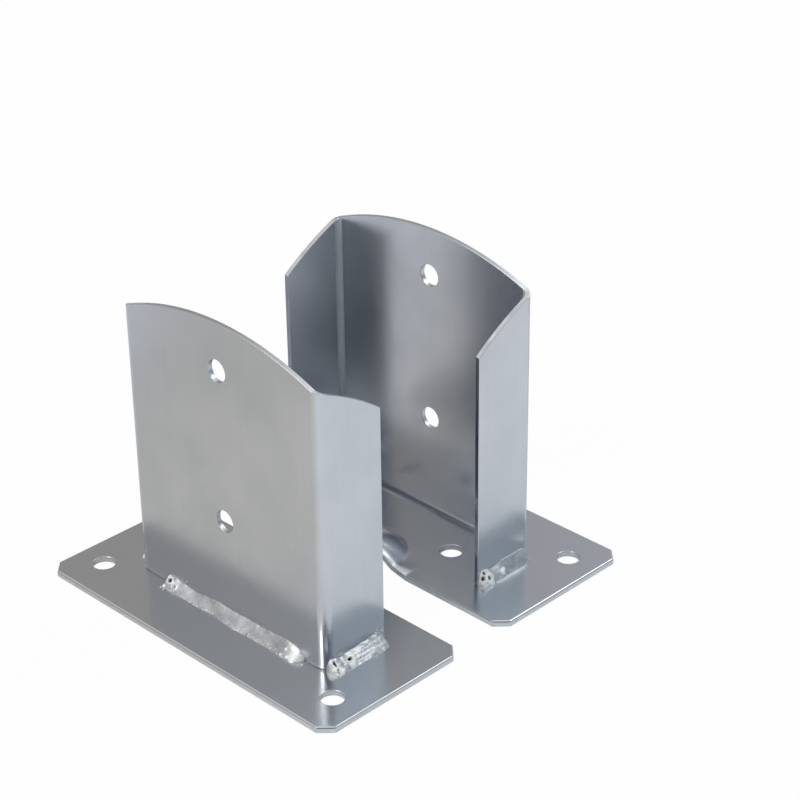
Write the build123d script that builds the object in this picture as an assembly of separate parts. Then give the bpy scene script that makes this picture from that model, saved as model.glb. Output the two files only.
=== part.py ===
from build123d import *
import math
import os

# Two-part bolt-down base for a square timber post.
# Two identical halves face each other. Each is a base plate with a folded upright welded on.
# A half's left and right are as seen from outside, looking at its web.
# Frame: X runs along the plates, Y from the front half to the rear one, Z up.
# The origin lies on the ground, midway between the halves. Sizes are in millimetres.

# How the halves stand
web_gap = 130.0            # clear distance between the two webs

# Upright: one sheet folded to a U, open towards the other half
sheet_t = 2.5
clear_width = 122.0        # between the flanges
flange_depth = 36.5        # from the web's outer face to the flange's free edge
bend_inner_r = 2.5
neutral_share = 0.5        # of the thickness, from the bend's inside to the line that keeps its length
crown_height = 151.0       # from the plate's top to the highest point of the web
top_arc_r = 160.0          # the top of the flat blank is one round arc
bolt_hole_d = 11.0
bolt_low = 51.5            # lower bolt hole above the plate
bolt_pitch = 76.0

# Base plate
plate_length = 190.0
plate_width = 85.0
plate_t = 3.0
corner_cut = 6.0
web_setback = 30.5         # from the plate's outer edge to the web's outer face
anchor_hole_d = 11.0
outer_anchor_pitch = 157.0
outer_anchor_edge = 20.0   # from the plate's outer edge
inner_anchor_pitch = 68.0
inner_anchor_edge = 31.0   # from the plate's inner edge

# Dome pressed up at the middle of the inner edge, which keeps the post's end off the plate
dome_foot_r = 24.0         # where the round cap ends
dome_side_slope = 34.0     # degrees, the cap's steepest slope, at its foot
dome_foot_blend_r = 4.0    # hollow bend between the cap and the ring round it
dome_ring_slope = 11.0     # degrees, the plate is drawn up a little in a ring round the cap
dome_rim_r = 34.5          # where the plate starts to rise
dome_rim_blend_r = 10.0

# Fillet welds along the outer foot of the upright
web_weld_length = 96.0
web_weld_shift = 1.5       # the bead lies a little off the middle
web_weld_leg_up = 4.5
web_weld_leg_out = 5.0
flange_weld_start = 2.5    # from the web's outer face, so the bead begins on the bend
flange_weld_end_gap = 1.0  # short of the flange's free edge
flange_weld_leg_up = 5.0
flange_weld_leg_out = 5.5
weld_bulge = 0.8           # how far a bead swells past the straight line between its toes
weld_flats = 3             # narrow flats that stand for a bead's round face

# Places worked out from the sizes, for the front half
outer_width = clear_width + 2 * sheet_t
bend_outer_r = bend_inner_r + sheet_t
neutral_r = bend_inner_r + neutral_share * sheet_t
bend_length = math.pi / 2 * neutral_r
web_half = outer_width / 2 - bend_outer_r
web_y = -(web_gap / 2 + sheet_t)
plate_outer_y = web_y - web_setback
plate_inner_y = plate_outer_y + plate_width
arc_centre_z = plate_t + crown_height - top_arc_r


def blank_top(along):
    # height of the top arc at a distance along the flat blank from its middle
    return arc_centre_z + math.sqrt(top_arc_r ** 2 - along ** 2)


def web():
    # the flat of the web between the two bends, with its bolt holes
    face = Plane((0, web_y, 0), x_dir=(1, 0, 0), z_dir=(0, -1, 0))
    blank = Pos(0, plate_t + crown_height / 2) * Rectangle(2 * web_half, crown_height)
    outline = blank & (Pos(0, arc_centre_z) * Circle(top_arc_r))
    for height in (bolt_low, bolt_low + bolt_pitch):
        outline -= Pos(0, plate_t + height) * Circle(bolt_hole_d / 2)
    return extrude(face * outline, amount=-sheet_t)


def flange():
    # the right flange's flat, from the bend to the free edge, under the same arc of the flat blank
    face = Plane((outer_width / 2, web_y, 0), x_dir=(0, 1, 0), z_dir=(1, 0, 0))
    length = flange_depth - bend_outer_r
    blank = Pos(bend_outer_r + length / 2, plate_t + crown_height / 2) * Rectangle(length, crown_height)
    arc_centre = bend_outer_r - bend_length - web_half
    outline = blank & (Pos(arc_centre, arc_centre_z) * Circle(top_arc_r))
    return extrude(face * outline, amount=-sheet_t)


def bend():
    # the right bend: a quarter ring whose top follows the arc of the flat blank round the corner
    ring = Circle(bend_outer_r) - Circle(bend_inner_r)
    corner = Pos(bend_outer_r / 2, -bend_outer_r / 2) * Rectangle(bend_outer_r, bend_outer_r)
    centre = (web_half, web_y + bend_outer_r)
    quarter = extrude(Pos(*centre, plate_t) * (ring & corner), amount=crown_height)
    waste_inner = bend_inner_r / 2
    waste_outer = bend_outer_r + bend_inner_r
    waste_height = crown_height
    sections = []
    for angle in (-8, 0, 30, 60, 90, 98):
        turn = math.radians(angle)
        radial = Plane((*centre, 0), x_dir=(math.sin(turn), -math.cos(turn), 0),
                       z_dir=(-math.cos(turn), -math.sin(turn), 0))
        top = blank_top(web_half + neutral_r * turn)
        middle = Pos((waste_inner + waste_outer) / 2, top + waste_height / 2)
        sections.append(radial * middle * Rectangle(waste_outer - waste_inner, waste_height))
    return quarter - loft(sections)


def upright():
    side = flange() + bend()
    return web() + side + mirror(side, about=Plane.YZ)


def at_slope(centre, radius, slope):
    # the point of a hollow arc where its surface slopes by this many degrees
    turn = math.radians(slope)
    return (centre[0] - radius * math.sin(turn), centre[1] - radius * math.cos(turn))


def dome():
    # the cap, the hollow bend at its foot and the sloping ring, pressed from the plate at its own thickness
    side, ring = math.radians(dome_side_slope), math.radians(dome_ring_slope)
    rim = (dome_rim_r, plate_t + dome_rim_blend_r)
    ring_outer = at_slope(rim, dome_rim_blend_r, dome_ring_slope)
    ring_inner_r = dome_foot_r + dome_foot_blend_r * (math.sin(side) - math.sin(ring))
    ring_inner = (ring_inner_r, ring_outer[1] + (ring_outer[0] - ring_inner_r) * math.tan(ring))
    foot = (ring_inner[0] + dome_foot_blend_r * math.sin(ring), ring_inner[1] + dome_foot_blend_r * math.cos(ring))
    cap_r = dome_foot_r / math.sin(side)
    cap_z = at_slope(foot, dome_foot_blend_r, dome_side_slope)[1] - cap_r * math.cos(side)
    foot_turn = dome_side_slope - dome_ring_slope
    profile = [Line((dome_rim_r, plate_t), (dome_rim_r, 0)), Line((0, cap_z + cap_r - plate_t), (0, cap_z + cap_r))]
    for under in (0, plate_t):
        profile += [
            CenterArc((0, cap_z), cap_r - under, 90 - dome_side_slope, dome_side_slope),
            CenterArc(foot, dome_foot_blend_r + under, 270 - dome_side_slope, foot_turn),
            Line(at_slope(foot, dome_foot_blend_r + under, dome_ring_slope),
                 at_slope(rim, dome_rim_blend_r + under, dome_ring_slope)),
            CenterArc(rim, dome_rim_blend_r + under, 270 - dome_ring_slope, dome_ring_slope),
        ]
    face = Plane((0, plate_inner_y, 0), x_dir=(1, 0, 0), z_dir=(0, -1, 0)) * make_face(profile)
    return revolve(face, Axis((0, plate_inner_y, 0), (0, 0, -1)), 180)


def base_plate():
    outline = Pos(0, (plate_outer_y + plate_inner_y) / 2) * Rectangle(plate_length, plate_width)
    outline = chamfer(outline.vertices(), corner_cut)
    outline -= Pos(0, plate_inner_y) * Circle(dome_rim_r)
    for side in (-1, 1):
        outer = (side * outer_anchor_pitch / 2, plate_outer_y + outer_anchor_edge)
        inner = (side * inner_anchor_pitch / 2, plate_inner_y - inner_anchor_edge)
        for place in (outer, inner):
            outline -= Pos(*place) * Circle(anchor_hole_d / 2)
    return extrude(outline, amount=plate_t) + dome()


def bead(length, leg_up, leg_out, root):
    # a fillet bead with round ends along local X, on a wall that faces local -Y.
    # root is how far it reaches behind the wall's face, where a bend curves away from it.
    slant = math.hypot(leg_up, leg_out)
    swell = (leg_out / 2 + weld_bulge * leg_up / slant, leg_up / 2 + weld_bulge * leg_out / slant)
    face_arc = ThreePointArc((leg_out, 0), swell, (0, leg_up))
    round_face = Polyline([face_arc @ (step / weld_flats) for step in range(weld_flats + 1)])
    puddle = make_face([Line((0, 0), (leg_out, 0)), round_face, Line((0, leg_up), (0, 0))])
    behind = Pos(-root / 2, leg_up / 2) * Rectangle(root, leg_up)
    straight = length - 2 * leg_out
    section = Plane((straight / 2, 0, 0), x_dir=(0, -1, 0), z_dir=(-1, 0, 0))
    shape = extrude(section * puddle, amount=straight) + extrude(section * behind, amount=straight)
    round_end = revolve(section * puddle, Axis((straight / 2, 0, 0), (0, 0, 1)), 360)
    shape = shape + round_end + mirror(round_end, about=Plane.YZ)
    kept = Pos(0, (root - leg_out) / 2, leg_up / 2) * Box(length, root + leg_out, leg_up)
    return shape & kept


def web_weld(post_holder):
    shape = bead(web_weld_length, web_weld_leg_up, web_weld_leg_out, sheet_t / 2)
    return Pos(web_weld_shift, web_y, plate_t) * shape - post_holder


def flange_weld(post_holder):
    # the right flange's bead, which starts on the bend and ends short of the free edge
    stop = flange_depth - flange_weld_end_gap
    shape = bead(stop - flange_weld_start, flange_weld_leg_up, flange_weld_leg_out, sheet_t / 2)
    middle = web_y + (flange_weld_start + stop) / 2
    return Pos(outer_width / 2, middle, plate_t) * Rot(0, 0, 90) * shape - post_holder


def front_half():
    post_holder = upright()
    right_weld = flange_weld(post_holder)
    return {
        "base_plate": base_plate(),
        "upright": post_holder,
        "web_weld": web_weld(post_holder),
        "right_flange_weld": right_weld,
        "left_flange_weld": mirror(right_weld, about=Plane.YZ),
    }


os.makedirs("parts", exist_ok=True)
for name, shape in front_half().items():
    export_step(shape, f"parts/front_{name}.step")
    export_step(Rot(0, 0, 180) * shape, f"parts/rear_{name}.step")
    print(name, "valid", shape.is_valid, "volume", round(shape.volume, 1), "faces", len(shape.faces()))
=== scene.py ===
import bmesh
import bpy
import math
from mathutils import Matrix, Vector, noise


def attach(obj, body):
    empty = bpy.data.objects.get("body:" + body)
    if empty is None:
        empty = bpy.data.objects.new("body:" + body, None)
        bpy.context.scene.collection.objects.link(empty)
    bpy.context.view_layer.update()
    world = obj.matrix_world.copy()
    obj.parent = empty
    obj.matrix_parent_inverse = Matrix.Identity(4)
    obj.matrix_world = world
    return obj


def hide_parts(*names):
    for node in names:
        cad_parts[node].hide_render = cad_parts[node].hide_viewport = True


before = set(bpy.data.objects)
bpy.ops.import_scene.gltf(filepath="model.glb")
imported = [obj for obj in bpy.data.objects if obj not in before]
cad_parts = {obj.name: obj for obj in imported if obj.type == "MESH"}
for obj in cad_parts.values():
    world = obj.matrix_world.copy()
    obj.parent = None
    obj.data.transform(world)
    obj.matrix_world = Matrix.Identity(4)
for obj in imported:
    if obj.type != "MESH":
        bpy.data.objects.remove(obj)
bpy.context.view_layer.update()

mm = 0.001                  # metres in a millimetre
print("stage: frame loaded,", len(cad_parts), "nodes")


def linearColour(hexText):
    # sRGB hex to linear red, green, blue and alpha
    channels = [int(hexText[i:i + 2], 16) / 255 for i in (1, 3, 5)]
    linear = [c / 12.92 if c <= 0.04045 else ((c + 0.055) / 1.055) ** 2.4 for c in channels]
    return (*linear, 1.0)


def scaleFor(millimetres):
    # texture scale that makes one pattern cell this size, as the coordinates are in metres
    return 1 / (millimetres * mm)


def addNode(tree, kind, settings=None, links=None):
    # one node with its properties, its input values and the sockets that feed it
    node = tree.nodes.new(kind)
    for key, value in (settings or {}).items():
        if isinstance(key, str) and hasattr(node, key):
            setattr(node, key, value)
        else:
            node.inputs[key].default_value = value
    for key, socket in (links or {}).items():
        tree.links.new(socket, node.inputs[key])
    return node


def newMaterial(name):
    material = bpy.data.materials.new(name)
    material.use_nodes = True
    material.node_tree.nodes.clear()
    return material, material.node_tree


def directionFrom(azimuth, elevation):
    # from the object towards a place round it; azimuth 0 is the -Y side and 90 is +X
    a, e = math.radians(azimuth), math.radians(elevation)
    return Vector((math.sin(a) * math.cos(e), -math.cos(a) * math.cos(e), math.sin(e)))


def smoothStep(share):
    # a share from 0 to 1, eased at both ends
    return share * share * (3 - 2 * share)


# The camera stands at the photograph's viewing angle
cameraView = {
    "lens": 101.13,             # mm
    "sensorWidth": 36,          # mm
    "target": (-0.01608, 0.06066, 0.060),
    "azimuth": 44.91,
    "elevation": 28.43,
    "roll": -0.72,              # degrees
    "distance": 1.09272,
    "clip": (0.01, 50),         # nearest and furthest, in metres
}


def makeCamera(view):
    camera = bpy.data.objects.new("photoCamera", bpy.data.cameras.new("photoCamera"))
    bpy.context.scene.collection.objects.link(camera)
    camera.data.lens = view["lens"]
    camera.data.sensor_width = view["sensorWidth"]
    camera.data.clip_start, camera.data.clip_end = view["clip"]
    back = directionFrom(view["azimuth"], view["elevation"])
    right = (-back).cross(Vector((0, 0, 1))).normalized()
    up = right.cross(-back)
    turn = math.radians(view["roll"])
    across = right * math.cos(turn) + up * math.sin(turn)
    upward = up * math.cos(turn) - right * math.sin(turn)
    turned = Matrix((across, upward, back)).transposed().to_4x4()
    camera.matrix_world = Matrix.Translation(Vector(view["target"]) + back * view["distance"]) @ turned
    bpy.context.scene.camera = camera


makeCamera(cameraView)
print("stage: camera")


# The studio's floor and surround
studio = {
    "floorSize": 30.0,            # metres
    # painted light on the floor: the paper runs from grey on the left to cool and light on the right, as if a
    # lamp lit that side more
    "floorPaintedLight": ("#CBC8C3", "#E0DCD7", "#F0F3F8"),   # grey to the left, cool and light to the right
    "paintedLightTurn": (1.0, 0.35, 0),  # the direction in which the paper gets lighter
    "paintedLightBlend": (-0.30, 0.12),  # metres along it between the first tone and the last
    # painted cooler light on the paper behind to the left
    "coolPaintedLight": "#DDDEE6",      # the paper behind to the left
    "coolTurn": (-0.8, 0.6, 0),
    "coolBlend": (0.045, 0.090),
    "floorDrop": 0.0002,          # just under the feet, so that the faces don't fight
    "cameraWhite": 0.97,          # share of plain white in what the camera sees of the floor
    "glossyWhite": 0.04,          # the same share in what metal sees of it
    "skyColour": "#E9F2F8",
    "worldStrength": 1.0,
}

# soft patches of the surround: where they are, how wide they reach, their colour and share
skyPatches = {
    "behindLeft": {"azimuth": -122, "elevation": 25, "reach": 75, "colour": "#A6A3A0", "share": 1.0},
    "behindRight": {"azimuth": 140, "elevation": 22, "reach": 66, "colour": "#98A6B1", "share": 1.0},
    "frontWall": {"azimuth": -5, "elevation": 25, "reach": 50, "colour": "#FFFFFF", "share": 1.0},
    "behindMiddle": {"azimuth": -168, "elevation": 24, "reach": 34, "colour": "#CACDDA", "share": 1.0},
    "cameraSide": {"azimuth": 57, "elevation": 38, "reach": 50, "colour": "#566273", "share": 0.95},
    "overhead": {"azimuth": 180, "elevation": 80, "reach": 50, "colour": "#FCFEF9", "share": 1.0},
    "frontLeft": {"azimuth": -47, "elevation": 21, "reach": 25, "colour": "#A59E94", "share": 1.0},
    "highLeft": {"azimuth": -84, "elevation": 54, "reach": 26, "colour": "#F9F6F6", "share": 1.0},
}

lampAim = (0, 0, 0.06)            # metres, about the object's middle
lamps = {                         # azimuth, elevation and distance are round that place
    "frontStripBox": {"azimuth": 4, "elevation": 33, "distance": 1.6, "size": (0.34, 0.6), "power": 3.2,
                      "colour": "#FFFDF4"},
    "highFrontBox": {"azimuth": -11, "elevation": 50, "distance": 1.6, "size": (0.9, 0.5), "power": 3.3,
                     "colour": "#FFF8EC"},
    "wideBoxBehind": {"azimuth": 158, "elevation": 48, "distance": 1.2, "size": (0.86, 0.46), "power": 2.4,
                      "colour": "#FFFCF4"},
}


def makeFloor(settings):
    half, z = settings["floorSize"] / 2, -settings["floorDrop"]
    corners = [(-half, -half, z), (half, -half, z), (half, half, z), (-half, half, z)]
    mesh = bpy.data.meshes.new("studioFloor")
    mesh.from_pydata(corners, [], [(0, 1, 2, 3)])
    floor = bpy.data.objects.new("studioFloor", mesh)
    bpy.context.scene.collection.objects.link(floor)
    material, tree = newMaterial("mattPaperSweep")     # matt paper: even, no gloss
    # the camera sees nearly plain white with a trace of the soft shadow; metal sees the paper with its
    # painted light
    path = addNode(tree, "ShaderNodeLightPath")
    shiny = addNode(tree, "ShaderNodeMath", {"operation": "MAXIMUM"},
                    {0: path.outputs["Is Glossy Ray"], 1: path.outputs["Is Transmission Ray"]})
    shinyShare = addNode(tree, "ShaderNodeMath", {"operation": "MULTIPLY", 1: settings["glossyWhite"]},
                         {0: shiny.outputs[0]})
    share = addNode(tree, "ShaderNodeMath", {"operation": "MULTIPLY_ADD", 1: settings["cameraWhite"]},
                    {0: path.outputs["Is Camera Ray"], 2: shinyShare.outputs[0]})
    place = addNode(tree, "ShaderNodeTexCoord")
    along = addNode(tree, "ShaderNodeVectorMath", {"operation": "DOT_PRODUCT", 1: settings["paintedLightTurn"]},
                    {0: place.outputs["Object"]})
    start, stop = settings["paintedLightBlend"]
    blend = addNode(tree, "ShaderNodeMapRange", {1: start, 2: stop}, {0: along.outputs["Value"]})
    # painted light: the paper gets lighter and cooler towards the right
    paperLight = addNode(tree, "ShaderNodeValToRGB", None, {0: blend.outputs[0]})
    paperLight.color_ramp.interpolation = "EASE"
    paperLight.color_ramp.elements.new(0.5)
    for stopPoint, tone in zip(paperLight.color_ramp.elements, settings["floorPaintedLight"]):
        stopPoint.color = linearColour(tone)
    # painted cooler light on the paper behind to the left, near the object
    behind = addNode(tree, "ShaderNodeVectorMath", {"operation": "DOT_PRODUCT", 1: settings["coolTurn"]},
                     {0: place.outputs["Object"]})
    coolStart, coolStop = settings["coolBlend"]
    coolShare = addNode(tree, "ShaderNodeMapRange", {1: coolStart, 2: coolStop}, {0: behind.outputs["Value"]})
    tinted = addNode(tree, "ShaderNodeMix", {"data_type": "RGBA", 7: linearColour(settings["coolPaintedLight"])},
                     {0: coolShare.outputs[0], 6: paperLight.outputs[0]})
    matt = addNode(tree, "ShaderNodeBsdfDiffuse", None, {"Color": tinted.outputs[2]})
    white = addNode(tree, "ShaderNodeEmission", {"Color": (1, 1, 1, 1), "Strength": 1.0})
    mixed = addNode(tree, "ShaderNodeMixShader", None,
                    {0: share.outputs[0], 1: matt.outputs[0], 2: white.outputs[0]})
    addNode(tree, "ShaderNodeOutputMaterial", None, {"Surface": mixed.outputs[0]})
    mesh.materials.append(material)


def makeWorld(settings, patches):
    # a soft surround: a pale sky with wide, soft-edged patches over it
    world = bpy.data.worlds.new("studioSurround")
    bpy.context.scene.world = world
    world.use_nodes = True
    tree = world.node_tree
    tree.nodes.clear()
    place = addNode(tree, "ShaderNodeTexCoord")
    below = {}                                         # the first patch lies on the plain sky
    for patch in patches.values():
        towards = directionFrom(patch["azimuth"], patch["elevation"])
        rim = math.cos(math.radians(patch["reach"]))
        near = addNode(tree, "ShaderNodeVectorMath", {"operation": "DOT_PRODUCT", 1: towards},
                       {0: place.outputs["Generated"]})
        share = addNode(tree, "ShaderNodeMapRange",
                        {"interpolation_type": "SMOOTHSTEP", 1: rim, 2: 1.0, 4: patch["share"]},
                        {0: near.outputs["Value"]})
        mixed = addNode(tree, "ShaderNodeMix",
                        {"data_type": "RGBA", 6: linearColour(settings["skyColour"]),
                         7: linearColour(patch["colour"])}, {0: share.outputs[0], **below})
        below = {6: mixed.outputs[2]}
    light = addNode(tree, "ShaderNodeBackground", {"Strength": settings["worldStrength"]},
                    {"Color": below[6]})
    addNode(tree, "ShaderNodeOutputWorld", None, {"Surface": light.outputs[0]})


def makeLamp(name, settings):
    data = bpy.data.lights.new(name, "AREA")
    data.shape = "RECTANGLE"
    data.size, data.size_y = settings["size"]
    data.energy = settings["power"]
    data.color = linearColour(settings["colour"])[:3]
    lamp = bpy.data.objects.new(name, data)
    bpy.context.scene.collection.objects.link(lamp)
    towards = directionFrom(settings["azimuth"], settings["elevation"])
    lamp.location = Vector(lampAim) + towards * settings["distance"]
    lamp.rotation_mode = "QUATERNION"
    lamp.rotation_quaternion = towards.to_track_quat("Z", "Y")


makeFloor(studio)
makeWorld(studio, skyPatches)
for lampName, lampSettings in lamps.items():
    makeLamp(lampName, lampSettings)
bpy.context.scene.view_settings.view_transform = "Standard"
print("stage: studio")


# Bright zinc electroplate over cold-rolled sheet: a cool, half-glossy metal with soft reflections,
# faint rolling streaks along the sheet and slow clouds in the plating
sheetFinish = {
    "name": "brightZincPlatedRolledSheet",
    "colours": ("#C9CDD3", "#D2D5DB"),
    "roughness": (0.20, 0.26),
    "cloud": 26.0,               # mm, cloudy patches of the plating bath
    "streakWidth": 1.6,          # mm, rolling streaks; the real ones are about 0.1 mm, too fine to show
    "streakLength": 90.0,
    "streakAxis": 2,             # they run up the sheet
    "streakDepth": 0.0007,       # mm
    "waveLength": 45.0,          # mm, the sheet isn't quite flat
    "waveDepth": 0.010,          # mm
    "streakShare": 0.25,         # of the streaks in the colour; the rest is the clouds
    "toneSpread": (0.35, 0.65),  # the part of the noise that runs from the first colour to the second
    "roughSpread": (0.3, 0.7),   # and from the highest roughness to the lowest
}

# The same plating over hot-rolled plate: a little darker, with wider and fainter streaks along the plate
plateFinish = dict(sheetFinish, name="brightZincPlatedHotRolledPlate", colours=("#C8CCD1", "#CED1D6"),
                   roughness=(0.18, 0.24), streakAxis=0, streakWidth=2.2, streakDepth=0.0004)

# Sheared edges of the sheet: the same plating on cut steel, rougher and finely marked
edgeFinish = dict(sheetFinish, name="zincPlatedShearedEdge", colours=("#BDC1C6", "#D6D9DD"),
                  roughness=(0.26, 0.38), cloud=6.0, streakWidth=0.8, streakLength=6.0, streakDepth=0.005,
                  waveDepth=0.004)

# The upright ends of the sheet, where the blank was cut off: darker and glossier than the faces
bladeFinish = dict(edgeFinish, name="zincPlatedBladeCutSheetEnd", colours=("#868C93", "#969CA2"),
                   roughness=(0.10, 0.15), streakDepth=0.002)

# Inside of a bend: the same sheet, matt where the tool pressed it
bendFinish = dict(sheetFinish, name="brightZincPlatedSheetInBend", colours=("#C6CACF", "#CFD3D9"),
                  roughness=(0.66, 0.74))

# Punched edges of the plate: a smooth, darker band where the punch went in, and under it the torn zone,
# which is rough and catches more light
# the torn zone's paler colour is partly the real torn steel and partly a painted reflection of the bright
# floor at the plate's foot
punchedFinish = dict(edgeFinish, name="zincPlatedPunchedPlateEdge", colours=("#BFC3C7", "#D4D7DB"),
                     tornColourAndPaintedReflection="#DCDFE2", tornBelow=1.5, tornBlend=0.3, tornUneven=1.2,      # mm
                     tornRoughness=0.55, roughness=(0.24, 0.38))


def zincPlating(finish):
    material, tree = newMaterial(finish["name"])
    place = addNode(tree, "ShaderNodeTexCoord")
    here = place.outputs["Object"]
    clouds = addNode(tree, "ShaderNodeTexNoise",
                     {"Scale": scaleFor(finish["cloud"]), "Detail": 3.0, "Roughness": 0.5}, {"Vector": here})
    stretch = [scaleFor(finish["streakWidth"])] * 3
    stretch[finish["streakAxis"]] = scaleFor(finish["streakLength"])
    drawn = addNode(tree, "ShaderNodeVectorMath", {"operation": "MULTIPLY", 1: stretch}, {0: here})
    streaks = addNode(tree, "ShaderNodeTexNoise", {"Scale": 1.0, "Detail": 2.0}, {"Vector": drawn.outputs[0]})
    tone = addNode(tree, "ShaderNodeMix",
                   {"data_type": "FLOAT", "factor_mode": "UNIFORM", 0: finish["streakShare"]},
                   {2: clouds.outputs[0], 3: streaks.outputs[0]})
    toneLow, toneHigh = finish["toneSpread"]
    spread = addNode(tree, "ShaderNodeMapRange", {1: toneLow, 2: toneHigh}, {0: tone.outputs[0]})
    dark, light = (linearColour(tint) for tint in finish["colours"])
    colour = addNode(tree, "ShaderNodeMix", {"data_type": "RGBA", 6: dark, 7: light}, {0: spread.outputs[0]})
    if "tornBelow" in finish:
        # the torn zone's border runs unevenly along the edge
        split = addNode(tree, "ShaderNodeSeparateXYZ", None, {0: here})
        uneven = addNode(tree, "ShaderNodeMath", {"operation": "MULTIPLY_ADD", 1: -finish["tornUneven"] * mm},
                         {0: streaks.outputs[0], 2: split.outputs["Z"]})
        middle, blend = finish["tornBelow"] - finish["tornUneven"] / 2, finish["tornBlend"]
        low, high = (middle - blend) * mm, (middle + blend) * mm
        upper = addNode(tree, "ShaderNodeMapRange", {"interpolation_type": "SMOOTHSTEP", 1: low, 2: high},
                        {0: uneven.outputs[0]})
        # the paler torn zone: partly real torn steel, partly a painted reflection of the bright floor
        colour = addNode(tree, "ShaderNodeMix", {"data_type": "RGBA", 6: linearColour(finish["tornColourAndPaintedReflection"])},
                         {0: upper.outputs[0], 7: colour.outputs[2]})
    low, high = finish["roughness"]
    roughFrom, roughTo = finish["roughSpread"]
    rough = addNode(tree, "ShaderNodeMapRange", {1: roughFrom, 2: roughTo, 3: high, 4: low},
                    {0: clouds.outputs[0]})
    if "tornBelow" in finish:
        rough = addNode(tree, "ShaderNodeMapRange", {3: finish["tornRoughness"]},
                        {0: upper.outputs[0], 4: rough.outputs[0]})
    waves = addNode(tree, "ShaderNodeTexNoise", {"Scale": scaleFor(finish["waveLength"]), "Detail": 0.0},
                    {"Vector": here})
    slow = addNode(tree, "ShaderNodeBump", {"Strength": 1.0, "Distance": finish["waveDepth"] * mm},
                   {"Height": waves.outputs[0]})
    fine = addNode(tree, "ShaderNodeBump", {"Strength": 1.0, "Distance": finish["streakDepth"] * mm},
                   {"Height": streaks.outputs[0], "Normal": slow.outputs[0]})
    shader = addNode(tree, "ShaderNodeBsdfPrincipled", {"Metallic": 1.0},
                     {"Base Color": colour.outputs[2], "Roughness": rough.outputs[0],
                      "Normal": fine.outputs[0]})
    addNode(tree, "ShaderNodeOutputMaterial", None, {"Surface": shader.outputs[0]})
    return material


sheetZinc = zincPlating(sheetFinish)
plateZinc = zincPlating(plateFinish)
edgeZinc = zincPlating(edgeFinish)
punchedZinc = zincPlating(punchedFinish)
bladeZinc = zincPlating(bladeFinish)
bendZinc = zincPlating(bendFinish)

# Zinc plating over a hand-laid weld: many small bright and dark facets, a fine grain from the cooled metal,
# white frost with painted highlight on lumps and lips, and painted shade with dark flux in the pits
weldFinish = {
    "name": "zincPlatedWeldBead",
    "colours": ("#B5B9BF", "#C9CCD1"),
    # painted shade in the deep pits, together with the dark flux left in them
    "fluxAndPitShadeColour": "#0E0D0C",
    # painted highlight: lumps, pit lips, specks and drops are painted near white, partly as zinc frost, and
    # made pale and matt
    "frostAndGlintColour": "#F8F9FA",    # drops and lips of pits are white with zinc oxide, so pale and matt
    "frostRoughness": 0.50,
    "frostMetal": 0.25,          # what is left of the metallic look there
    "roughness": (0.34, 0.42),
    "grain": 0.7,                # mm; the real grain is about 0.3, too fine to show
    "grainDepth": 0.022,         # mm
    "cloud": 3.0,                # mm
    "toneSpread": (0.35, 0.65),
    "roughSpread": (0.3, 0.7),
}


def weldZinc(finish):
    material, tree = newMaterial(finish["name"])
    place = addNode(tree, "ShaderNodeTexCoord")
    here = place.outputs["Object"]
    clouds = addNode(tree, "ShaderNodeTexNoise", {"Scale": scaleFor(finish["cloud"]), "Detail": 4.0},
                     {"Vector": here})
    grain = addNode(tree, "ShaderNodeTexNoise", {"Scale": scaleFor(finish["grain"]), "Detail": 2.0},
                    {"Vector": here})
    toneLow, toneHigh = finish["toneSpread"]
    spread = addNode(tree, "ShaderNodeMapRange", {1: toneLow, 2: toneHigh}, {0: clouds.outputs[0]})
    dark, light = (linearColour(tint) for tint in finish["colours"])
    metal = addNode(tree, "ShaderNodeMix", {"data_type": "RGBA", 6: dark, 7: light}, {0: spread.outputs[0]})
    # white frost with painted highlight on lumps, pit lips, specks and spatter drops
    frostAndGlint = addNode(tree, "ShaderNodeAttribute", {"attribute_name": "frostAndGlint"})
    frostedAndGlinting = addNode(tree, "ShaderNodeMix", {"data_type": "RGBA", 7: linearColour(finish["frostAndGlintColour"])},
                      {0: frostAndGlint.outputs["Fac"], 6: metal.outputs[2]})
    # near black in the pits: painted shade of the deep pits, with dark flux in them
    pits = addNode(tree, "ShaderNodeAttribute", {"attribute_name": "pit"})
    colour = addNode(tree, "ShaderNodeMix", {"data_type": "RGBA", 7: linearColour(finish["fluxAndPitShadeColour"])},
                     {0: pits.outputs["Fac"], 6: frostedAndGlinting.outputs[2]})
    low, high = finish["roughness"]
    roughFrom, roughTo = finish["roughSpread"]
    plain = addNode(tree, "ShaderNodeMapRange", {1: roughFrom, 2: roughTo, 3: low, 4: high},
                    {0: grain.outputs[0]})
    rough = addNode(tree, "ShaderNodeMapRange", {4: finish["frostRoughness"]},
                    {0: frostAndGlint.outputs["Fac"], 3: plain.outputs[0]})
    bump = addNode(tree, "ShaderNodeBump", {"Strength": 1.0, "Distance": finish["grainDepth"] * mm},
                   {"Height": grain.outputs[0]})
    metallic = addNode(tree, "ShaderNodeMapRange", {3: 1.0, 4: finish["frostMetal"]},
                       {0: frostAndGlint.outputs["Fac"]})
    shader = addNode(tree, "ShaderNodeBsdfPrincipled", None,
                     {"Base Color": colour.outputs[2], "Roughness": rough.outputs[0],
                      "Normal": bump.outputs[0], "Metallic": metallic.outputs[0]})
    addNode(tree, "ShaderNodeOutputMaterial", None, {"Surface": shader.outputs[0]})
    return material


beadZinc = weldZinc(weldFinish)
print("stage: materials")


plateTop = 3.0                   # mm

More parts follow.
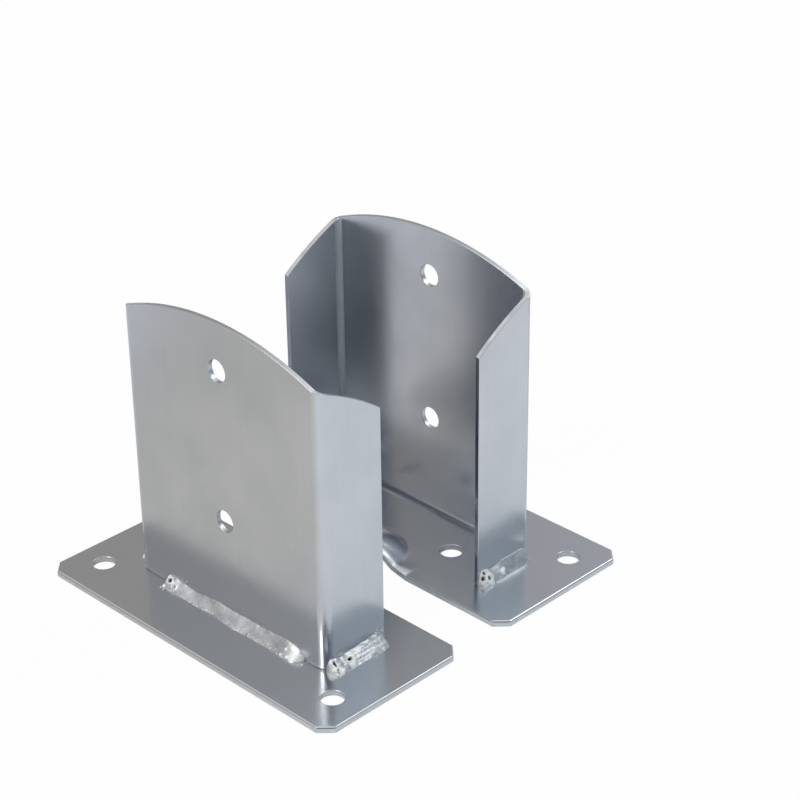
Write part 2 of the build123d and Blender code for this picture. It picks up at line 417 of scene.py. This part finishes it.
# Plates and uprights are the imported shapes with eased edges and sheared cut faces. "places" tell one face
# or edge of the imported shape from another: lengths are in mm from the middle, the same on both halves
plateShape = {
    "nodes": ("front_base_plate", "rear_base_plate"),
    "slot": "plate_steel",
    "edgeRadius": 1.00,          # mm, rolled over by the punch and rounded by the plating
    "easing": {"top": 1.0, "hole": 0.4, "dome": 0.3, "side": 0.4, "bottom": 0.3},    # shares of that radius
    "finishes": (plateZinc, punchedZinc),
    "places": {
        "cutTilt": 0.3,          # a cut edge faces less up or down than this
        "dome": (36, 13.5),      # the dome's edges lie nearer than these
        "holes": ((78.5, 78.0), (34.0, 44.0)),
        "holeReach": 6,
        "topAbove": 2,
        "tallEdge": 2,           # an upright edge is taller than this
    },
}

# The plate rises round the dome's foot only near the cut edge; away from it the foot is a plain crease
domeForm = {
    "centreY": 13.0,             # mm, on the plate's inner edge
    "footRadius": 25.47,
    "rimRadius": 34.5,
    "ringRise": 1.567,           # mm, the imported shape's ring at the foot
    "fadeFrom": 3.0,             # degrees round from the cut edge
    "fadeTo": 22.0,
    "slack": 0.01,               # mm
    "topSlack": 0.05,            # mm
}

uprightShape = {
    "nodes": ("front_upright", "rear_upright"),
    "slot": "sheet_steel",
    "edgeRadius": 0.40,
    "easing": {"top": 0.8, "bottom": 1.2, "bendFoot": 3.2, "inside": 0.0},   # no gap inside the U
    "finishes": (sheetZinc, edgeZinc, bladeZinc, bendZinc),
    "places": {
        "cutTilt": 0.12,         # the top and the foot face more up or down than this
        "endFrom": 60.4,         # a flange's end face lies further out than this
        "endTurn": 0.99,         # and faces at least this much along Y
        "holeReach": 5.6,        # a bolt hole's wall lies nearer than this
        "holeTurn": 0.9,         # and faces less than this along Y
        "bendAxis": (58.5, 62.5),
        "bendReach": 2.7,        # the inside of a bend lies nearer to its axis than this
        "bendTurn": 0.02,        # and is turned this much from web and flange
        "footBelow": 3.1,
        "inside": (61.2, 65.2),  # the foot's inner edges lie nearer than these
        "bendFrom": (57.5, 61.5),     # and a bend's foot edges further out than these
    },
}

meshRules = {
    "mergeWithin": 0.002,        # mm
    "flatAngle": 0.2,            # degrees, under which neighbouring faces become one
    "sharpAngle": 38,            # degrees, over which an edge is eased
    "segments": 3,
    "rowHeights": (6, 12, 22, 34, 46, 63, 75, 88, 100, 111, 118),      # mm
    "rowSlack": 0.001,           # mm
}


def finishOf(face, shape):
    # which of the finishes a face gets: 0 rolled, 1 punched or sheared, 2 blade-cut end, 3 inside of a bend
    places = shape["places"]
    alongX, alongY, alongZ = (abs(part) for part in face.normal)
    if shape is plateShape:
        return 1 if alongZ < places["cutTilt"] else 0
    if alongZ > places["cutTilt"]:
        return 1
    x, y, z = (abs(part) / mm for part in face.calc_center_median())
    if alongY > places["endTurn"] and x > places["endFrom"]:
        return 2
    if alongY < places["holeTurn"] and x < places["holeReach"]:
        return 1
    fromAxis = math.hypot(x - places["bendAxis"][0], y - places["bendAxis"][1])
    return 3 if min(alongX, alongY) > places["bendTurn"] and fromAxis < places["bendReach"] else 0


def easingShare(edge, shape):
    # how much of the edge radius one sharp edge gets
    places, shares = shape["places"], shape["easing"]
    ends = [vert.co / mm for vert in edge.verts]
    x, y, z = (abs(part) for part in (ends[0] + ends[1]) / 2)
    if shape is plateShape:
        if x < places["dome"][0] and y < places["dome"][1]:
            return shares["dome"]
        onTop = z > places["topAbove"]
        if onTop and any(math.hypot(x - a, y - b) < places["holeReach"] for a, b in places["holes"]):
            return shares["hole"]
        isTall = abs(ends[0].z - ends[1].z) > places["tallEdge"]
        return shares["side" if isTall else "top" if onTop else "bottom"]
    if z > places["footBelow"]:
        return shares["top"]
    if x < places["inside"][0] and y < places["inside"][1]:
        return shares["inside"]
    onBend = x > places["bendFrom"][0] and y > places["bendFrom"][1]
    return shares["bendFoot" if onBend else "bottom"]


def easeRing(work, form):
    # lower the ring round the dome, and the dome's foot with it, away from the cut edge
    footRadius, rimRadius, slack = form["footRadius"], form["rimRadius"], form["slack"]
    for vert in work.verts:
        x, y, z = vert.co.x / mm, abs(vert.co.y / mm) - form["centreY"], vert.co.z / mm
        radius = math.hypot(x, y)
        if radius > rimRadius - slack or radius < slack:
            continue
        turn = math.degrees(math.asin(min(1.0, max(0.0, y / radius))))
        share = min(1.0, max(0.0, (turn - form["fadeFrom"]) / (form["fadeTo"] - form["fadeFrom"])))
        if radius < footRadius:
            drop = form["ringRise"] * (radius / footRadius) ** 3
        else:
            drop = form["ringRise"] * (rimRadius - radius) / (rimRadius - footRadius)
        isUpper = z > plateTop - form["topSlack"] and vert.normal.z > 0
        vert.co.z = max(vert.co.z - drop * smoothStep(share) * mm, (plateTop if isUpper else 0.0) * mm)


def cutRows(work, rules):
    # rows of points round the upright, clear of its holes, so that the bends are shaded evenly
    for height in rules["rowHeights"]:
        bmesh.ops.bisect_plane(work, geom=work.verts[:] + work.edges[:] + work.faces[:],
                               dist=rules["rowSlack"] * mm, plane_co=(0, 0, height * mm), plane_no=(0, 0, 1))


def dressNode(nodeName, shape):
    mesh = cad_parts[nodeName].data.copy()
    mesh.name = nodeName + "_visual"
    mesh.materials.clear()
    for finish in shape["finishes"]:
        mesh.materials.append(finish)
    work = bmesh.new()
    work.from_mesh(mesh)
    bmesh.ops.remove_doubles(work, verts=work.verts, dist=meshRules["mergeWithin"] * mm)
    bmesh.ops.dissolve_limit(work, angle_limit=math.radians(meshRules["flatAngle"]), verts=work.verts,
                             edges=work.edges, use_dissolve_boundaries=False)
    if shape is uprightShape:
        cutRows(work, meshRules)
    bmesh.ops.recalc_face_normals(work, faces=work.faces)
    for face in work.faces:
        face.material_index = finishOf(face, shape)
        face.smooth = True
    layers = work.edges.layers.float
    weights = layers.get("bevel_weight_edge") or layers.new("bevel_weight_edge")
    sharp = math.radians(meshRules["sharpAngle"])
    for edge in work.edges:
        isSharp = len(edge.link_faces) == 2 and edge.calc_face_angle(0.0) > sharp
        edge[weights] = easingShare(edge, shape) if isSharp else 0.0
    if shape is plateShape:
        easeRing(work, domeForm)
    work.to_mesh(mesh)
    work.free()
    for attributeName in ("custom_normal", "sharp_edge", "sharp_face"):
        if attributeName in mesh.attributes:
            mesh.attributes.remove(mesh.attributes[attributeName])
    piece = bpy.data.objects.new(nodeName + "_piece", mesh)
    bpy.context.scene.collection.objects.link(piece)
    bevel = piece.modifiers.new("easedEdges", "BEVEL")
    bevel.width = shape["edgeRadius"] * mm
    bevel.segments = meshRules["segments"]
    bevel.limit_method = "WEIGHT"
    bevel.use_clamp_overlap = False
    bevel.material = 0                                 # the rounded edges are burnished like the skin
    even = piece.modifiers.new("evenNormals", "WEIGHTED_NORMAL")      # broad faces stay flat to the eye
    even.mode = "FACE_AREA"
    even.weight = 100
    even.keep_sharp = False
    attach(piece, "root")
    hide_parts(nodeName)
    print("  ", nodeName, len(mesh.polygons), "faces before the edges are eased")


for shape in (plateShape, uprightShape):
    for nodeName in shape["nodes"]:
        dressNode(nodeName, shape)
print("stage: plates and uprights")


# What the weld beads share; an entry below may change any of it for one bead. Lengths are in mm
beadForm = {
    "step": 0.25,                # along the bead
    "across": 28,                # steps from the toe on the plate to the toe on the wall
    "crowding": 0.06,            # how much closer the rings stand at the ends
    "ends": (2.6, 2.2),          # the rounded start and stop
    "inset": 0.1,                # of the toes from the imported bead's
    "bulge": 0.35,               # past the straight line between the toes
    "sink": 0.25,                # how far the bead is fused into plate and wall
    "tuck": 0.05,                # how far the sunk rim stays behind the toes
    "mergeWithin": 0.004,
    "markRise": 4,               # how soon marks reach their full height away from the toes
    "rippleLength": 1.35,        # between ripples; the real ones are about 1 mm
    "rippleBow": 1.9,            # how far a ripple's middle runs ahead
    "rippleHeight": 0.08,
    "rippleRounding": 1.6,
    "rippleDrift": (0.6, 3.0),   # how far ripples stray, and over what length
    "rippleFade": (0.35, 5.0),   # the share by which they come and go, and over what length
    "toeWander": 0.50,           # how much a toe strays
    "plateToeWaves": ((4.5, 0.8), (1.6, 0.5)),     # lengths and shares of the waves in which it strays
    "wallToeWaves": ((4.0, 0.8), (1.5, 0.5)),
    "toeReach": 0.13,            # share of the face that goes with a toe
    "toeLimits": (1.4, 2.4),     # the furthest past the legs, out on the plate and up the wall
    "lumpiness": 0.25,           # slow swells along the bead
    "swellLength": 7.0,
    "lumpRise": 3,
    "grooves": 0.22,             # long shallow furrows that the arc left
    "grooveSize": (7.0, 1.1),
    "grain": 0.06,               # small bumps all over
    "grainSize": (0.9, 0.9),
    # the near black in a pit is painted shade of the deep pit with dark flux in it
    "pitEdge": 1.05,             # how far within a pit's reach its dark flux ends
    "lip": (0.16, 1.45, 0.35),   # height of a pit's raised lip, its place and width in reaches of the pit
    # the white below is partly frost on the plating and partly painted highlight
    "lipFrostAndGlint": (1.5, 0.5),      # place and width of the white on it
    "lumpFrostAndGlint": 1.6,
    "frostAndGlintMottle": (1.1, (0.8, 0.8)),      # how uneven the white on a lump is, and the size of its patches
    "specks": 0.35,              # share of white in the small specks, most of them along the plate
    "speckSize": (0.8, 0.6),
    "speckNoise": (0.2, 5),      # where in the noise a speck starts, and how crisp it is
    "speckFoot": (0.3, 0.35),    # share of the face that is fully specked, and what is left above it
    "dropFlatness": 0.7,         # height of a spatter drop against its width
    "dropRise": 0.25,            # share of its radius by which its middle stands clear
    "dropFrostAndGlint": 0.8,
}

bendOuter = 5.0                  # mm

# One entry per bead: its node, where the wall starts and which way the bead runs and faces, where it
# starts and stops along the wall, its legs up and out, then lumps as (along, across 0..1, radius, height),
# pits as (along, across, radius along, radius across, depth), waists as (along, radius, share) and spatter
# as (along, out, up, radius), all in mm. outShifts and upShifts say how far the toe on the plate and the
# toe on the wall lie past the leg at places along the bead
beads = {
    "front_web_weld": {
        "origin": (0, -67.5), "along": (1, 0), "out": (0, -1), "span": (-43.4, 49.5), "legs": (4.5, 5.0),
        "seed": 3.1, "bendAt": None,
        "form": {"bulge": 0.10, "rippleHeight": 0.008, "lumpiness": 0.06, "grooves": 0.03, "grain": 0.010,
                 "toeWander": 0.34, "ends": (1.6, 4.4), "specks": 0.7},
        "outShifts": [(-42, 0.3), (-36, 0.1), (-30, 0), (-16, 0), (-8, -0.7), (0, 0.2), (8, 0.8),
                      (16, 0.1), (24, 0), (32, -0.4), (40, 0.5), (47, 0.7)],
        "upShifts": [(-42, 0.5), (-38, 0.7), (-32, -0.1), (-24, -0.9), (-16, 0), (-8, 0.7), (0, 0.3),
                     (8, 0.6), (16, 0.6), (24, 0.7), (32, 1.3), (40, 1.8), (47, 0.4)],
        "lumps": [(-42.2, 0.12, 0.9, 0.4), (-41.6, 0.86, 0.9, 0.3), (-37.6, 0.55, 1.0, 0.2),
                  (45.4, 0.30, 2.0, 0.12), (48.2, 0.50, 2.2, 0.02), (43.4, 0.80, 1.2, 0.12),
                  (40.4, 0.52, 0.6, 0.12), (42.6, 0.16, 0.7, 0.25), (38.8, 0.10, 0.5, 0.25)],
        "pits": [(-40.0, 0.64, 1.05, 0.95, 1.4), (-36.2, 0.42, 1.1, 0.8, 0.35),
                 (48.4, 0.60, 0.32, 0.30, 0.4)],
        "spatter": [(-42.6, 5.5, 0, 0.50), (-40.2, 6.0, 0, 0.35), (51.3, 3.0, 0, 0.45),
                    (-30.0, 0, 6.0, 0.3)],
    },
    "front_right_flange_weld": {
        "origin": (63.5, -67.5), "along": (0, 1), "out": (1, 0), "span": (1.6, 35.5), "legs": (5.0, 5.5),
        "seed": 8.4, "bendAt": 0,
        "form": {"ends": (1.8, 1.4), "bulge": 0.12, "lumpiness": 0.30, "rippleHeight": 0.02, "grooves": 0.08,
                 "grain": 0.05, "toeWander": 0.60, "specks": 0.6},
        "outShifts": [(1.6, 0.2), (5, 0.9), (9, 0.5), (13, 0.7), (19, 0.8), (26, 0.7), (30, 1.2),
                      (33, 0.6), (35, 0)],
        "upShifts": [(1.6, 0.4), (5, 0.5), (9, -0.2), (13, 0), (19, 0.3), (24, 0.5), (29, 0.8),
                     (31, 1.0), (35, 0)],
        "lumps": [(4.9, 0.14, 1.6, 0.30), (3.0, 0.40, 1.1, 0.25), (6.8, 0.18, 1.0, 0.2),
                  (3.2, 0.86, 0.9, 0.3), (12.0, 0.16, 1.6, 0.35), (13.2, 0.38, 1.2, 0.25),
                  (16.5, 0.42, 0.8, 0.15), (25.6, 0.38, 0.9, 0.15), (24.0, 0.86, 0.7, 0.3),
                  (29.6, 0.92, 0.7, 0.3), (30.4, 0.08, 0.8, 0.2)],
        "pits": [(3.9, 0.71, 0.62, 1.35, 1.4), (12.4, 0.57, 1.2, 0.7, 1.2), (3.6, 0.32, 0.45, 0.4, 0.8)],
        "waists": [(8.8, 2.0, 0.10)],
        "spatter": [(30.8, 0, 6.3, 0.55), (31.7, 0, 7.4, 0.4), (30.1, 0, 8.0, 0.3), (34.8, 0, 5.7, 0.45),
                    (3.0, 6.3, 0, 0.45)],
    },
    "rear_left_flange_weld": {
        "origin": (63.5, 67.5), "along": (0, -1), "out": (1, 0), "span": (2.5, 36.3), "legs": (5.3, 4.8),
        "seed": 15.7, "bendAt": 0,
        "form": {"ends": (2.6, 2.4), "bulge": 0.08, "rippleHeight": 0.010, "lumpiness": 0.05, "grooves": 0.03,
                 "grain": 0.008, "toeWander": 0.25, "specks": 0.6},
        "outShifts": [(3, -0.6), (7, 0.2), (11, -0.3), (19, -0.3), (24, 0.2), (28, 0.3), (31, 0.6),
                      (34, 0.9)],
        "upShifts": [(3, 0), (7, 1.2), (11, 1.2), (16, 1.1), (20, 1.0), (24, 0.1), (28, 0.3), (31, 1.0),
                     (34, 1.2)],
        "lumps": [(32.8, 0.50, 3.6, 0.4), (31.6, 0.12, 1.5, 0.3), (29.9, 0.50, 1.2, 0.2),
                  (22.6, 0.34, 1.3, 0.35), (21.2, 0.44, 0.8, 0.2)],
        "pits": [(31.9, 0.44, 0.85, 1.1, 1.4), (33.4, 0.82, 0.80, 0.85, 1.3),
                 (34.9, 0.60, 0.75, 1.1, 1.4)],
        "waists": [(27.0, 2.4, 0.08)],
        "spatter": [(20.0, 0, 6.2, 0.4), (12.0, 7.1, 0, 0.4), (34.0, 6.4, 0, 0.5)],
    },
    "rear_web_weld": {
        "origin": (0, 67.5), "along": (-1, 0), "out": (0, 1), "span": (-43.4, 49.5), "legs": (4.5, 5.0),
        "seed": 22.9, "bendAt": None,
        "form": {"bulge": 0.12, "rippleHeight": 0.012, "lumpiness": 0.08, "grooves": 0.04, "grain": 0.014,
                 "ends": (2.2, 1.8)},
        "lumps": [(-41.5, 0.50, 1.4, 0.5), (46.2, 0.40, 1.2, 0.55), (44.0, 0.75, 0.8, 0.4)],
        "pits": [(-41.0, 0.60, 0.8, 0.7, 1.0), (47.0, 0.62, 0.5, 0.5, 0.7)],
        "waists": [(-20.0, 6.0, 0.08)],
        "spatter": [(-36.0, 6.8, 0, 0.5), (30.0, 0, 6.0, 0.4), (50.8, 4.4, 0, 0.45)],
    },
    "front_left_flange_weld": {
        "origin": (-63.5, -67.5), "along": (0, 1), "out": (-1, 0), "span": (2.5, 35.5), "legs": (5.0, 5.5),
        "seed": 31.3, "bendAt": 0,
        "lumps": [(5.4, 0.50, 2.0, 0.5), (32.0, 0.50, 2.2, 0.6), (20.4, 0.30, 1.0, 0.4)],
        "pits": [(4.6, 0.60, 0.7, 0.8, 1.0), (32.8, 0.42, 0.7, 0.6, 0.9)],
        "waists": [(10.5, 2.4, 0.15)],
        "spatter": [(12.0, 7.0, 0, 0.45), (28.0, 0, 6.4, 0.5)],
    },
    "rear_right_flange_weld": {
        "origin": (-63.5, 67.5), "along": (0, -1), "out": (-1, 0), "span": (2.5, 35.5), "legs": (5.0, 5.5),
        "seed": 40.6, "bendAt": 0,
        "lumps": [(5.8, 0.50, 2.2, 0.6), (31.8, 0.50, 1.8, 0.5), (14.2, 0.72, 1.0, 0.35)],
        "pits": [(4.8, 0.40, 0.8, 0.7, 1.1), (32.4, 0.60, 0.6, 0.6, 0.8)],
        "waists": [(24.0, 3.0, 0.12)],
        "spatter": [(16.0, 7.1, 0, 0.5), (8.0, 0, 6.2, 0.4)],
    },
}


def wander(seed, row, distance):
    # smooth noise from about -1 to 1 along the bead
    return noise.noise(Vector((distance, row * 7.3, seed)))


def mottle(seed, along, across, size):
    # smooth noise over the bead's face, in patches of this size
    return noise.noise(Vector((along / size[0], across / size[1], seed)))


def toeStray(seed, rows, waves, along):
    return sum(wander(seed, row, along / length) * share for row, (length, share) in zip(rows, waves))


def shiftAt(places, along):
    # smooth value between (along, shift) pairs
    if not places or along <= places[0][0]:
        return places[0][1] if places else 0.0
    for (a, low), (b, high) in zip(places, places[1:]):
        if along <= b:
            return low + (high - low) * smoothStep((along - a) / (b - a))
    return places[-1][1]


def wallRecess(bead, along):
    # how far the wall lies behind its flat where the bead starts on the bend
    if bead["bendAt"] is None:
        return 0.0
    short = bendOuter - along
    return bendOuter - math.sqrt(bendOuter ** 2 - short ** 2) if 0 < short < bendOuter else 0.0


def skinHeight(seed, form, along, across, middle, rounding):
    # how far the face stands past the straight line between its toes, before lumps and pits
    face = min(1.0, form["markRise"] * middle) * rounding
    drift, driftLength = form["rippleDrift"]
    fade, fadeLength = form["rippleFade"]
    phase = along + form["rippleBow"] * middle + drift * wander(seed, 6, along / driftLength)
    phase /= form["rippleLength"]
    ripple = 1 - abs(2 * (phase - math.floor(phase)) - 1) ** form["rippleRounding"]
    strength = 1 - fade + fade * wander(seed, 7, along / fadeLength)
    height = form["bulge"] * middle * rounding
    height += form["lumpiness"] * wander(seed, 5, along / form["swellLength"]) * middle * rounding
    height += form["rippleHeight"] * (ripple - 0.5) * strength * face
    height += form["grooves"] * mottle(seed + 70, along, across, form["grooveSize"]) * face
    return height + form["grain"] * mottle(seed + 50, along, across, form["grainSize"]) * face


def marksAt(bead, form, along, t, slant, middle, rounding):
    # lumps, pits and specks at one point: the height they add, and the shares of pit and of frost with
    # painted highlight
    seed, across = bead["seed"], t * slant
    height, pit, frostAndGlint = 0.0, 0.0, 0.0
    unevenness, patchSize = form["frostAndGlintMottle"]
    uneven = 1 + unevenness * mottle(seed + 110, along, across, patchSize)
    for place, where, radius, size in bead["lumps"]:
        apart = ((along - place) ** 2 + ((t - where) * slant) ** 2) / radius ** 2
        height += size * math.exp(-apart) * min(1.0, form["lumpRise"] * middle)
        frostAndGlint = max(frostAndGlint, min(1.0, form["lumpFrostAndGlint"] * uneven * math.exp(-apart ** 2)))
    face = min(1.0, form["markRise"] * middle) * rounding
    lipHeight, lipPlace, lipWidth = form["lip"]
    frostAndGlintPlace, frostAndGlintWidth = form["lipFrostAndGlint"]
    for place, where, reachAlong, reachAcross, depth in bead["pits"]:
        apart = math.hypot((along - place) / reachAlong, (t - where) * slant / reachAcross)
        height -= depth * math.exp(-apart ** 4) * face
        height += lipHeight * math.exp(-((apart - lipPlace) / lipWidth) ** 2) * face
        pit = max(pit, math.exp(-(apart * form["pitEdge"]) ** 6) * min(1.0, depth))
        frostAndGlint = max(frostAndGlint, math.exp(-((apart - frostAndGlintPlace) / frostAndGlintWidth) ** 2) * min(1.0, depth))
    speckFrom, crispness = form["speckNoise"]
    footShare, above = form["speckFoot"]
    speck = (mottle(seed + 90, along, across, form["speckSize"]) - speckFrom) * crispness
    frostAndGlint = max(frostAndGlint, form["specks"] * min(1.0, max(0.0, speck)) * (1.0 if t < footShare else above))
    return height, pit, frostAndGlint


def beadPoint(bead, form, along, t):
    # place of one point of the bead's face, as along, out and up, and its shares of pit and of frost with
    # painted highlight
    start, stop = bead["span"]
    seed = bead["seed"]
    rounding = 1.0
    for fromEnd, end in zip((along - start, stop - along), form["ends"]):
        rounding *= math.sqrt(max(0.0, 1 - (1 - min(fromEnd, end) / end) ** 2))
    width = rounding
    for place, reach, share in bead.get("waists", []):
        width *= 1 - share * math.exp(-((along - place) / reach) ** 2)
    legUp, legOut = bead["legs"]
    outLeg = (legOut - form["inset"] + shiftAt(bead.get("outShifts"), along)) * width
    upLeg = (legUp - form["inset"] + shiftAt(bead.get("upShifts"), along)) * width
    slant = math.hypot(outLeg, upLeg) or 1e-6
    middle = math.sin(math.pi * t)
    added, pit, frostAndGlint = marksAt(bead, form, along, t, slant, middle, rounding)
    height = skinHeight(seed, form, along, t * slant, middle, rounding) + added
    # the toes stray, and the face between them stays even
    plateStray = form["toeWander"] * toeStray(seed, (1, 2), form["plateToeWaves"], along)
    wallStray = form["toeWander"] * toeStray(seed, (3, 4), form["wallToeWaves"], along)
    nearPlate, nearWall = (math.exp(-(gap / form["toeReach"]) ** 2) * rounding for gap in (t, 1 - t))
    out = outLeg * (1 - t) + upLeg / slant * height + plateStray * nearPlate
    up = upLeg * t + outLeg / slant * height + wallStray * nearWall
    outLimit, upLimit = form["toeLimits"]
    out = min(out, legOut + outLimit) - wallRecess(bead, along) * t
    return along, out, min(max(up, 0.0), legUp + upLimit), (pit, frostAndGlint)


def makeBead(nodeName, bead, form):
    start, stop = bead["span"]
    steps = int(round((stop - start) / form["step"]))
    sink, tuck = form["sink"], form["tuck"]
    work = bmesh.new()
    pitLayer = work.verts.layers.float.new("pit")
    frostAndGlintLayer = work.verts.layers.float.new("frostAndGlint")
    alongAxis, outAxis = bead["along"], bead["out"]

    def place(along, out, up):
        return Vector((bead["origin"][0] + alongAxis[0] * along + outAxis[0] * out,
                       bead["origin"][1] + alongAxis[1] * along + outAxis[1] * out,
                       plateTop + up)) * mm

    rings = []
    for i in range(steps + 1):
        share = i / steps
        share -= form["crowding"] * math.sin(2 * math.pi * share) / (2 * math.pi)
        along = start + (stop - start) * share
        back = -wallRecess(bead, along) - sink
        points = [beadPoint(bead, form, along, j / form["across"]) for j in range(form["across"] + 1)]
        sunkOut = max(points[0][1] - tuck, back)
        sunkUp = max(points[-1][2] - tuck, -sink)
        bare = (0.0, 0.0)
        points = [(along, back, -sink, bare), (along, sunkOut, -sink, bare), *points,
                  (along, back, sunkUp, bare)]
        ring = []
        for a, out, up, (pit, frostAndGlint) in points:
            vert = work.verts.new(place(a, out, up))
            vert[pitLayer], vert[frostAndGlintLayer] = pit, frostAndGlint
            ring.append(vert)
        rings.append(ring)
    count = len(rings[0])
    for one, two in zip(rings, rings[1:]):
        for j in range(count):
            k = (j + 1) % count
            work.faces.new((one[j], one[k], two[k], two[j]))
    work.faces.new(list(reversed(rings[0])))
    work.faces.new(rings[-1])
    for along, out, up, radius in bead["spatter"]:
        normal = Vector((outAxis[0], outAxis[1], 0)) if up > 0 else Vector((0, 0, 1))
        # spatter drops are painted near white: frost with painted highlight
        for vert in addDrop(work, place(along, max(out, 0.0), up), radius * mm, normal, form):
            vert[frostAndGlintLayer] = form["dropFrostAndGlint"]
    bmesh.ops.remove_doubles(work, verts=work.verts, dist=form["mergeWithin"] * mm)
    bmesh.ops.recalc_face_normals(work, faces=work.faces)
    for face in work.faces:
        face.smooth = True
    mesh = bpy.data.meshes.new(nodeName + "_visual")
    work.to_mesh(mesh)
    work.free()
    mesh.materials.append(beadZinc)
    piece = bpy.data.objects.new(nodeName + "_piece", mesh)
    bpy.context.scene.collection.objects.link(piece)
    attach(piece, "root")
    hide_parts(nodeName)
    print("  ", nodeName, len(mesh.polygons), "faces")


def addDrop(work, centre, radius, normal, form):
    # a spatter drop: a flattened ball that sits a little in the surface
    made = bmesh.ops.create_icosphere(work, subdivisions=3, radius=radius)
    turn = normal.to_track_quat("Z", "Y").to_matrix()
    squash = Matrix.Diagonal((1.0, 1.0, form["dropFlatness"]))
    for vert in made["verts"]:
        vert.co = centre + turn @ (squash @ vert.co) + normal * radius * form["dropRise"]
    return made["verts"]


for nodeName, bead in beads.items():
    makeBead(nodeName, bead, dict(beadForm, **bead.get("form", {})))
print("stage: weld beads")
